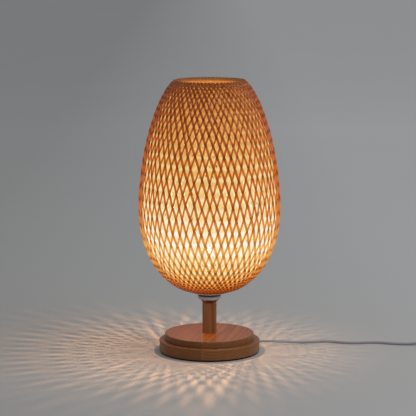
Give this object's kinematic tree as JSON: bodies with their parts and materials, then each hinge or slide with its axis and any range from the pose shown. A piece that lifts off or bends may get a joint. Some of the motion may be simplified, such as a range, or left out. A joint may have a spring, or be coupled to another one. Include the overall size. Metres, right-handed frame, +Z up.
{
  "type": "table lamp with shade",
  "caption": "Table lamp with an egg-shaped, double-walled woven bamboo shade on a short wooden stem and a stepped round foot, with lead, inline switch and plug.",
  "frame": {"origin": "centre of the foot's underside, on the table", "axes": "+Z up along the stem, +X to the side the lead leaves on, +Y to the back"},
  "size_m": [0.5415, 0.213, 0.411],
  "materials": {
    "foot_pad": "matt foam rubber",
    "foot_wood": "lacquered solid wood, satin",
    "zinc_steel": "zinc plated",
    "cup_chrome": "polished plate",
    "skirt_plastic": "moulded, satin",
    "porcelain": "glazed",
    "brass": "drawn brass",
    "outer_bamboo": "split bamboo, skin side",
    "inner_bamboo": "split bamboo, pith side",
    "hoop_rattan": "rattan core",
    "fitter_steel": "white enamel",
    "clear_glass": "clear blown glass",
    "black_glass": "black vitrite",
    "cap_metal": "nickel plated",
    "filament_metal": "glowing tungsten",
    "lead_pvc": "pale translucent PVC",
    "core_brown": "PVC core insulation",
    "core_blue": "PVC core insulation",
    "switch_plastic": "moulded",
    "plug_plastic": "moulded",
    "sleeve_plastic": "moulded",
    "pin_metal": "nickel plated"
  },
  "bodies": {
    "root": {"base_pad": "foot_pad", "lower_disc": "foot_wood", "upper_disc": "foot_wood", "stem": "foot_wood", "threaded_rod": "zinc_steel", "rod_washer": "zinc_steel", "rod_nut": "zinc_steel", "cord_grommet": "lead_pvc", "inner_lead": "lead_pvc", "holder_cup": "cup_chrome", "cup_washer": "zinc_steel", "cup_nut": "zinc_steel", "holder_skirt": "skirt_plastic", "holder_insert": "porcelain", "terminal_screws": "brass", "live_core": "core_brown", "neutral_core": "core_blue", "screw_shell": "brass", "centre_contact": "brass", "shade_fitter": "fitter_steel", "shade_ring": "skirt_plastic", "outer_weave": "outer_bamboo", "inner_weave": "inner_bamboo", "rim_hoop": "hoop_rattan", "cord_run": "lead_pvc", "cord_link": "lead_pvc", "cord_tail": "lead_pvc", "cord_coil": "lead_pvc", "coil_tie": "sleeve_plastic", "switch_base": "switch_plastic", "switch_cover": "switch_plastic", "switch_screws": "zinc_steel", "switch_contacts": "brass", "cord_clamps": "switch_plastic", "switch_cores": "core_brown", "plug_body": "plug_plastic", "plug_pins": "pin_metal", "plug_sleeves": "sleeve_plastic"},
    "bulb_carrier": {"bulb_contact": "cap_metal"},
    "bulb": {"bulb_glass": "clear_glass", "bulb_cap": "cap_metal", "bulb_insulator": "black_glass", "bulb_mount": "clear_glass", "bulb_filament": "filament_metal", "bulb_wires": "cap_metal"},
    "rocker": {"switch_rocker": "switch_plastic"}
  },
  "joints": [
    {"name": "bulb_lift", "type": "slide", "parent": "root", "child": "bulb_carrier", "axis": [0, 0, 1], "range_m": [0, 0.0109]},
    {"name": "bulb_turn", "type": "hinge", "parent": "bulb_carrier", "child": "bulb", "pos_m": [0, 0, 0.1563], "axis": [0, 0, 1], "range_deg": [0, 1080]},
    {"name": "rocker_tip", "type": "hinge", "parent": "root", "child": "rocker", "pos_m": [0.372, 0.036, 0.011], "axis": [0, 1, 0], "range_deg": [0, 16]}
  ],
  "couplings": [
    {"joint": "bulb_lift", "follows": "bulb_turn", "m_per_rad": 0.00057773}
  ]
}
